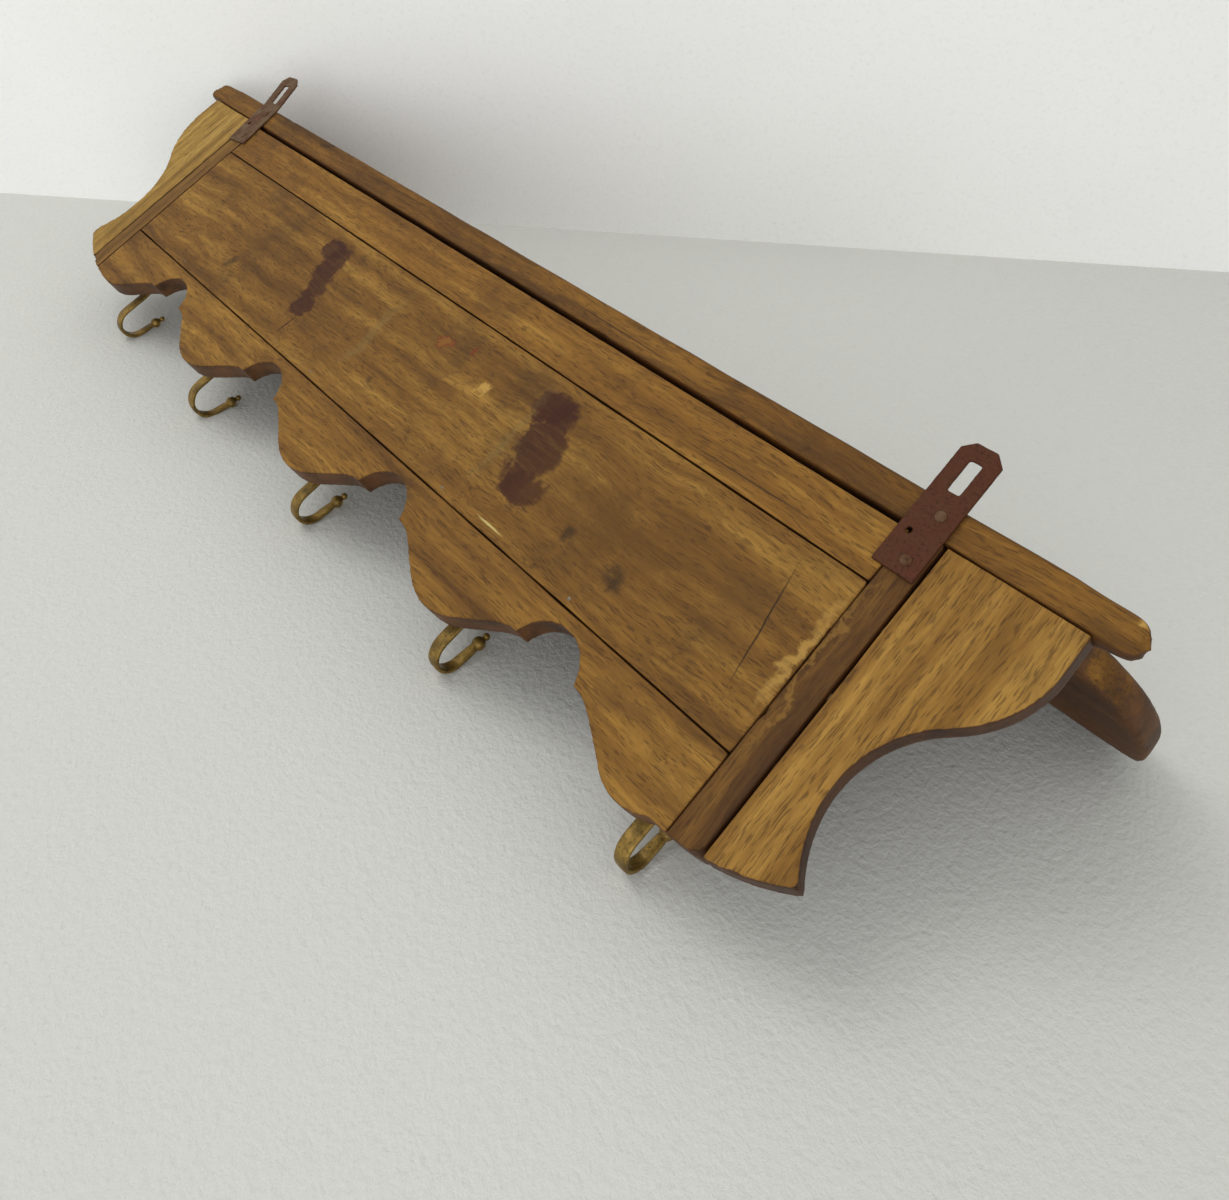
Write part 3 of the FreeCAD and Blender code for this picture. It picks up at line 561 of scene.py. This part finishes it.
def makeHook(node):
    look = hookLooks[node]
    low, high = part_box(node)
    origin = Vector(((low.x + high.x) / 2, high.y, low.z + hookShape["lowest"] * mm))

    def at(y, z, x=0.0):
        return origin + Vector((x * mm, y * mm, z * mm))

    bm = bmesh.new()
    wide = hookShape["plateWide"] / 2
    straight = hookShape["plateHigh"] / 2 - wide
    rings = []
    for depth, inset in ((0, 0.3), (-0.3, 0), (-1.7, 0), (-2.2, 0.3), (-2.45, 0.9), (-2.5, 1.8)):
        ring = []
        for k in range(hookShape["plateSides"]):
            turn = 2 * math.pi * (k + 0.5) / hookShape["plateSides"]
            lift = straight if math.sin(turn) > 0 else -straight
            radius = wide - inset
            ring.append(at(depth, lift + math.sin(turn) * radius, math.cos(turn) * radius))
        rings.append(ring)
    ringPiece(bm, rings)
    opened, down, aside = look["open"], look["down"], look["aside"]
    loop, out, drop = hookShape["loopRadius"], hookShape["loopOut"], hookShape["loopDrop"]
    points = [at(-2, 3), at(-8.5, 1.2), at(-13.6, -5), at(-15.4, -14), at(-15, -26)]
    for degrees in range(0, -181, -20):
        turn = math.radians(degrees)
        share = (degrees / -180) ** 1.3
        points.append(at(-out + loop * math.cos(turn) - opened * share,
                         -drop + loop * math.sin(turn) - down * share, aside * share))
    points.append(at(-41.2 - opened * 1.25, -28 - down * 1.1, aside * 1.1))
    points.append(at(-41.9 - opened * 1.35, -24.5 - down * 1.15, aside * 1.15))
    band = (hookShape["bandWidth"], hookShape["bandThick"], hookShape["tipWidth"], hookShape["bandThick"])
    sweepBand(bm, smoothLine(points, 5), *band, hookShape["loopRoot"])
    tip = points[-1]
    up = (points[-1] - points[-3]).normalized()
    neck = [(-2 * mm, 1.6 * mm), (0, 1.9 * mm)]
    waist = [(6.6 * mm, 1.5 * mm), (7.0 * mm, 1.6 * mm)]
    lathe(bm, tip, up, neck + ballProfile(2.4, hookShape["ball"], -0.85, 0.93) + waist
          + ballProfile(8.3, hookShape["knob"], -0.6, 1.0, 6))
    arm = [at(-2, 15), at(-14, 17), at(-27, 22), at(-40, 32.5), at(-50, 45), at(-56.6, 55)]
    sweepBand(bm, smoothLine(arm, 7), *band, hookShape["armRoot"])
    up = (arm[-1] - arm[-2]).normalized()
    lathe(bm, arm[-1], up, neck + ballProfile(3.2, hookShape["ball"], -0.85, 1.0))
    mesh = finishMesh(bm, node + "_cast")
    bend = Matrix.Rotation(math.radians(look["lean"]), 4, "Y")
    mesh.transform(Matrix.Translation(origin) @ bend @ Matrix.Translation(-origin))
    piece = addPiece(node + "_cast", mesh, node)
    softer = piece.modifiers.new("softer", "SUBSURF")
    softer.levels = softer.render_levels = 1
    addUnevenness(piece, node + "_casting", 5, 0.22)
    applyModifiers(piece)
    shadeSmooth(piece)
    piece.data.materials.clear()
    piece.data.materials.append(oldBrass)


for node in hookLooks:
    makeHook(node)
print("hooks made:", len(hookLooks))


# hanger plates, rusted

plateShape = {"fineness": 0.6, "edgeWear": 2, "pitting": 0.3}


def makePlate(node, finish):
    piece = addPiece(node + "_plate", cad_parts[node].data.copy(), node)
    remesh = piece.modifiers.new("crust", "REMESH")
    remesh.mode = "VOXEL"
    remesh.voxel_size = plateShape["fineness"] * mm
    smooth = piece.modifiers.new("edges", "SMOOTH")
    smooth.factor = 0.5
    smooth.iterations = plateShape["edgeWear"]
    addUnevenness(piece, node + "_pits", 2.2, plateShape["pitting"])
    applyModifiers(piece)
    shadeSmooth(piece)
    piece.data.materials.clear()
    piece.data.materials.append(finish)


makePlate("hanger_left", rustyIron)
makePlate("hanger_right", greyIron)
print("hanger plates made")


# screws, nails and pins

def solidBoxes(node):
    # lowest and highest corner of each separate solid of a group
    bm = bmesh.new()
    bm.from_mesh(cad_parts[node].data)
    bmesh.ops.remove_doubles(bm, verts=bm.verts, dist=0.01 * mm)
    left = set(bm.verts)
    found = []
    while left:
        group, queue = [], [left.pop()]
        while queue:
            vertex = queue.pop()
            group.append(vertex.co.copy())
            for edge in vertex.link_edges:
                other = edge.other_vert(vertex)
                if other in left:
                    left.remove(other)
                    queue.append(other)
        low = Vector([min(c[k] for c in group) for k in range(3)])
        high = Vector([max(c[k] for c in group) for k in range(3)])
        found.append((low, high))
    bm.free()
    return sorted(found, key=lambda pair: tuple(round(part, 5) for part in pair[0]))


def headTop(bm, base, axis, side, radius, rise, groove, depth, skirt):
    # domed head with a sawn slot, its rim standing on base
    other = axis.cross(side)
    half = [groove, groove + 0.05, 0.4, 0.6, 0.8, 0.94, 1]
    cuts = [-u for u in reversed(half)] + half
    rows = []
    for u in cuts:
        reach = math.sqrt(max(1 - u * u, 0.0004))
        row = []
        for k in range(15):
            v = -reach + 2 * reach * k / 14
            away = min(u * u + v * v, 1)
            height = skirt + (rise - skirt) * math.sqrt(1 - 0.96 * away)
            if abs(u) <= groove:
                height = rise - depth
            row.append(bm.verts.new(base + side * (u * radius) + other * (v * radius) + axis * height))
        rows.append(row)
    for near, far in zip(rows, rows[1:]):
        for k in range(14):
            bm.faces.new((near[k], near[k + 1], far[k + 1], far[k]))
    rim = rows[0] + [row[-1] for row in rows[1:-1]] + rows[-1][::-1] + [row[0] for row in rows[-2:0:-1]]
    foot = [bm.verts.new(v.co - axis * ((v.co - base).dot(axis) + 0.15 * mm)) for v in rim]
    for k in range(len(rim)):
        bm.faces.new((rim[k], rim[(k + 1) % len(rim)], foot[(k + 1) % len(rim)], foot[k]))


fixings = {
    "hook_screws": {"slot": "old_brass", "finish": oldBrass, "axis": (0, -1, 0), "radius": 3.0,
                    "rise": 1.2, "groove": 0.13, "depth": 0.7, "skirt": 0.25, "shank": 1.4},
    "shelf_screws": {"slot": "old_steel", "finish": oldSteel, "axis": (0, 0, 1), "radius": 4.0,
                     "rise": 0.35, "groove": 0.13, "depth": 1.0, "skirt": 0.2, "shank": 1.7},
    "panel_pins": {"slot": "old_steel", "finish": oldSteel, "axis": (0, 1, 0), "radius": 1.1,
                   "rise": 0.3, "groove": 0.0, "depth": 0.0, "skirt": 0.1, "shank": 0.7},
    "hanger_nails": {"slot": "rusty_iron", "finish": greyIron, "axis": (0, 1, 0), "radius": 3.0,
                     "rise": 1.3, "groove": 0.0, "depth": 0.0, "skirt": 0.35, "shank": 1.3},
}


def makeFixings(node, look):
    bm = bmesh.new()
    axis = Vector(look["axis"])
    for low, high in solidBoxes(node):
        length = 2 * abs(((high - low) / 2).dot(axis))
        top = (low + high) / 2 + axis * (length / 2)
        radius = look["radius"] * mm
        rise = look["rise"] * mm
        base = top - axis * rise
        turn = noise.random() * math.pi
        side = axis.orthogonal().normalized()
        side = (Matrix.Rotation(turn, 3, axis) @ side).normalized()
        headTop(bm, base, axis, side, radius, rise, look["groove"] or 0.02, look["depth"] * mm,
                look["skirt"] * mm)
        lathe(bm, base, -axis, [(0, radius * 0.9), (1.2 * mm, look["shank"] * 1.2 * mm),
              (2 * mm, look["shank"] * mm), (length - rise - 3 * mm, look["shank"] * 0.9 * mm),
              (length - rise, 0.1 * mm)], 14)
    piece = addPiece(node + "_set", finishMesh(bm, node + "_set"), node)
    addUnevenness(piece, node + "_wear", 1.6, 0.12)
    applyModifiers(piece)
    shadeSmooth(piece)
    piece.data.materials.clear()
    piece.data.materials.append(look["finish"])


noise.seed_set(7)
for node, look in fixings.items():
    makeFixings(node, look)
for node in ("rail_dowels", "wing_dowels"):
    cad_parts[node].data.materials.clear()
    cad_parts[node].data.materials.append(beech)
print("fixings made")


# floor and wall

floorUp = Vector((0, 0.8996, 0.4368))
wallPoint = Vector((0.591, -0.101, -0.146))
wallLine = Vector((0.994, 0.351, -0.724)).normalized()
outward = wallLine.cross(floorUp).normalized()
if outward.dot(-wallPoint) < 0:
    outward = -outward


def stageMaterial(name, colour, grain, depth):
    material, tree = newMaterial(name)
    place = put(tree, "ShaderNodeTexCoord").outputs["Object"]
    speckle = grainNoise(tree, place, grain, 4, 0.6)
    broad = grainNoise(tree, place, 3.0, 3, 0.5)
    shade = mixColour(tree, remap(tree, broad, 0.3, 0.7, 0.0, 0.06), colour, (0.4, 0.4, 0.4, 1))
    shade = mixColour(tree, remap(tree, speckle, 0.5, 0.75, 0.0, 0.10), shade, (0.35, 0.35, 0.34, 1))
    bump = put(tree, "ShaderNodeBump", {"Height": speckle, "Strength": 0.8, "Distance": depth * mm})
    shader = put(tree, "ShaderNodeBsdfPrincipled", {"Base Color": shade, "Roughness": 0.75,
                                                    "Normal": bump.outputs[0]})
    clear = put(tree, "ShaderNodeBsdfTransparent")
    behind = put(tree, "ShaderNodeNewGeometry").outputs["Backfacing"]
    both = put(tree, "ShaderNodeMixShader", {0: behind, 1: shader.outputs[0], 2: clear.outputs[0]})
    put(tree, "ShaderNodeOutputMaterial", {"Surface": both.outputs[0]})
    return material


def stageSheet(name, corner, first, second, facing, material):
    points = [corner, corner + first, corner + first + second, corner + second]
    if (points[1] - points[0]).cross(points[3] - points[0]).dot(facing) < 0:
        points.reverse()
    mesh = bpy.data.meshes.new(name)
    mesh.from_pydata(points, [], [(0, 1, 2, 3)])
    mesh.materials.append(material)
    sheet = bpy.data.objects.new(name, mesh)
    bpy.context.scene.collection.objects.link(sheet)
    sheet.visible_shadow = False
    return sheet


stageShape = {"half": 5.0, "depth": 6.0, "high": 4.0}
start = wallPoint - wallLine * stageShape["half"]
floor = stageSheet("floor", start, wallLine * 2 * stageShape["half"], outward * stageShape["depth"], floorUp,
                   stageMaterial("floor_finish", paint(195, 196, 192), 260, 1.2))
wall = stageSheet("wall", start, wallLine * 2 * stageShape["half"], floorUp * stageShape["high"], outward,
                  stageMaterial("wall_finish", paint(250, 251, 249), 300, 0.3))


# light

def areaLight(name, place, target, size, power, colour=(1, 1, 1)):
    data = bpy.data.lights.new(name, "AREA")
    data.shape = "DISK"
    data.size = size
    data.energy = power
    data.color = colour
    lamp = bpy.data.objects.new(name, data)
    bpy.context.scene.collection.objects.link(lamp)
    lamp.location = place
    lamp.rotation_mode = "QUATERNION"
    lamp.rotation_quaternion = (target - place).to_track_quat("-Z", "Y")
    return lamp


imageRight = Vector((-0.65424, -0.34755, 0.67170))
imageDown = Vector((-0.39036, -0.60552, -0.69351))
ahead = Vector((0.64776, -0.71593, 0.26049))
centre = (cadBox[0] + cadBox[1]) / 2
lightLook = {"main": 14, "mainSize": 1.3, "fill": 7.5, "front": 12, "world": 0.86}
areaLight("main", centre - imageRight * 0.95 + floorUp * 1.5 - imageDown * 0.6, centre,
          lightLook["mainSize"], lightLook["main"], (1.0, 0.98, 0.95))
areaLight("fill", centre + outward * 1.7 + floorUp * 0.6, centre + floorUp * 0.2, 1.6,
          lightLook["fill"], (0.95, 0.98, 1.0))
areaLight("front", centre + Vector((0.7, -1.7, 0.9)), centre, 1.5, lightLook["front"])
world = bpy.data.worlds.new("studio")
world.use_nodes = True
world.node_tree.nodes["Background"].inputs[0].default_value = (0.99, 0.98, 0.96, 1)
world.node_tree.nodes["Background"].inputs[1].default_value = lightLook["world"]
bpy.context.scene.world = world


# camera

cameraData = bpy.data.cameras.new("camera")
cameraData.sensor_fit = "AUTO"
cameraData.sensor_width = 36
cameraData.lens = 32.36
cameraData.shift_y = -0.2238
cameraData.clip_start = 0.01
cameraData.clip_end = 50
cameraData.dof.use_dof = False
camera = bpy.data.objects.new("camera", cameraData)
bpy.context.scene.collection.objects.link(camera)
turned = Matrix((imageRight, -imageDown, -ahead)).transposed().to_4x4()
camera.matrix_world = Matrix.Translation(Vector((-0.57181, 0.49610, -0.20505))) @ turned
bpy.context.scene.camera = camera
